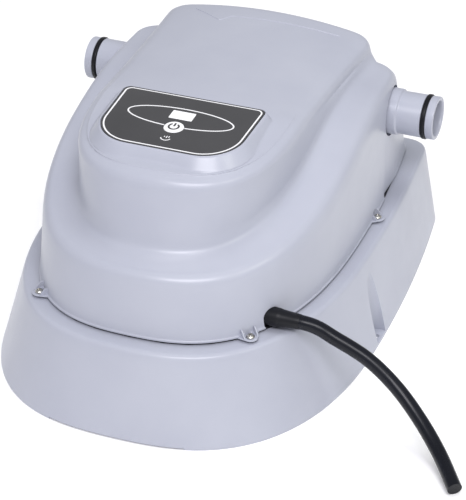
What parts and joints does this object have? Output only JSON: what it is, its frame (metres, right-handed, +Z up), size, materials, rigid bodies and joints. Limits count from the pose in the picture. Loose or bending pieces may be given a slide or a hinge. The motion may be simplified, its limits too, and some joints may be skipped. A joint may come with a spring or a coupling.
{
  "type": "inline electric pool heater",
  "caption": "Inline electric pool heater: two-tier moulded case on a flared base, hose port on each side, sloped control panel with power button, mains cord.",
  "frame": {"origin": "centre of the footprint on the ground", "axes": "+Z up; the control panel faces -Y; water flows along +X, from the inlet port to the outlet port"},
  "size_m": [0.445, 0.432, 0.2178],
  "materials": {
    "case": "satin moulded grey",
    "dark_plastic": "matte black",
    "rubber": "matte",
    "panel": "satin film",
    "white": "satin",
    "window": "clear satin",
    "steel": "plain",
    "brass": "plain",
    "board": "solder resist",
    "tank": "glass-filled, matte",
    "red_plastic": "satin",
    "blue_plastic": "satin",
    "green_plastic": "satin"
  },
  "bodies": {
    "case": {"base_shell": "case", "board_screw_1": "steel", "board_screw_2": "steel", "board_screw_3": "steel", "board_screw_4": "steel", "capacitor": "dark_plastic", "control_panel": "panel", "cord_boot": "rubber", "cord_clamp": "dark_plastic", "cord_clamp_screw_1": "steel", "cord_clamp_screw_2": "steel", "display_board": "board", "display_lens": "window", "display_module": "dark_plastic", "earth_lead": "green_plastic", "element_gasket": "rubber", "flow_switch_body": "dark_plastic", "heater_tank": "tank", "heating_element": "steel", "housing_gasket": "rubber", "housing_screw_1": "steel", "housing_screw_2": "steel", "housing_screw_3": "steel", "housing_screw_4": "steel", "housing_screw_5": "steel", "housing_screw_6": "steel", "indicator_led": "window", "inlet_nut": "dark_plastic", "inlet_o_ring": "rubber", "inlet_port": "case", "inlet_seal": "rubber", "live_lead": "red_plastic", "neutral_lead": "blue_plastic", "outlet_nut": "dark_plastic", "outlet_o_ring": "rubber", "outlet_port": "case", "outlet_seal": "rubber", "paddle_pin": "steel", "power_board": "board", "power_cord": "rubber", "relay_left": "dark_plastic", "relay_right": "dark_plastic", "tact_switch": "dark_plastic", "tank_saddle_left": "dark_plastic", "tank_saddle_right": "dark_plastic", "tank_strap_left": "steel", "tank_strap_right": "steel", "temperature_probe": "brass", "terminal_block": "white", "thermal_cutout": "dark_plastic", "transformer": "dark_plastic", "upper_housing": "case"},
    "power_key": {"power_button": "white"},
    "switch_plunger": {"tact_plunger": "white"},
    "reset_key": {"reset_button": "red_plastic"},
    "paddle": {"flow_paddle": "dark_plastic"}
  },
  "joints": [
    {"name": "power_button_press", "type": "slide", "parent": "case", "child": "power_key", "axis": [0, 0.0523, -0.9986], "range_m": [0, 0.0008], "stiffness_N_per_m": 1500},
    {"name": "tact_plunger_slide", "type": "slide", "parent": "case", "child": "switch_plunger", "axis": [0, 0.0523, -0.9986], "range_m": [0, 0.0008]},
    {"name": "reset_press", "type": "slide", "parent": "case", "child": "reset_key", "axis": [0, 1, 0], "range_m": [0, 0.0015], "stiffness_N_per_m": 1500},
    {"name": "paddle_swing", "type": "hinge", "parent": "case", "child": "paddle", "pos_m": [0.044, 0.1232, 0.1785], "axis": [0, -1, 0], "range_deg": [0, 28], "stiffness_Nm_per_rad": 0.002}
  ],
  "couplings": [
    {"joint": "tact_plunger_slide", "follows": "power_button_press", "ratio": 1}
  ]
}
